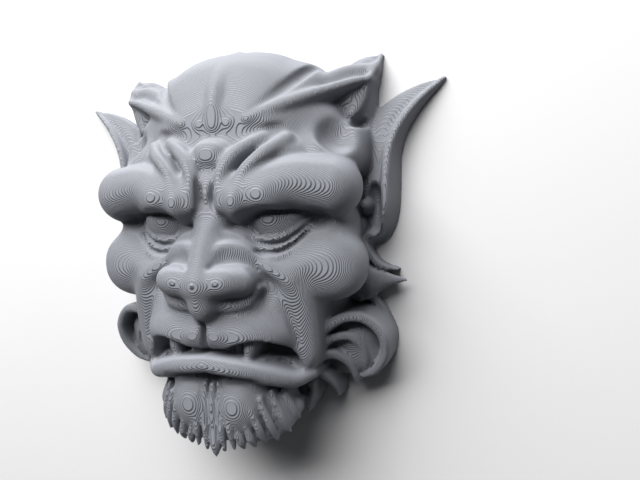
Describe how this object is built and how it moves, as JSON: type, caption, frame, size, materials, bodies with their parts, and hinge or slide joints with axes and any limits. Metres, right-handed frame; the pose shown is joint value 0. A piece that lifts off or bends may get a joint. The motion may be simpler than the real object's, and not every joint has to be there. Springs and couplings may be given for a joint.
{
  "type": "grotesque mask",
  "caption": "Flat-backed 3-D printed relief of a scowling grotesque face with pointed ears, heavy brows, curled side locks and a stranded beard, lying face up",
  "frame": {"origin": "centre of the footprint, on the flat back, which is the surface the mask lies on", "axes": "+Z out of the face, away from the flat back; +Y up the face, from the beard to the top of the head; +X to the right as the face is looked at"},
  "size_m": [0.1228, 0.1174, 0.04],
  "materials": {
    "print_plastic": "matte, with fine layer lines parallel to the flat back"
  },
  "bodies": {
    "root": {"mask": "print_plastic"}
  },
  "joints": []
}
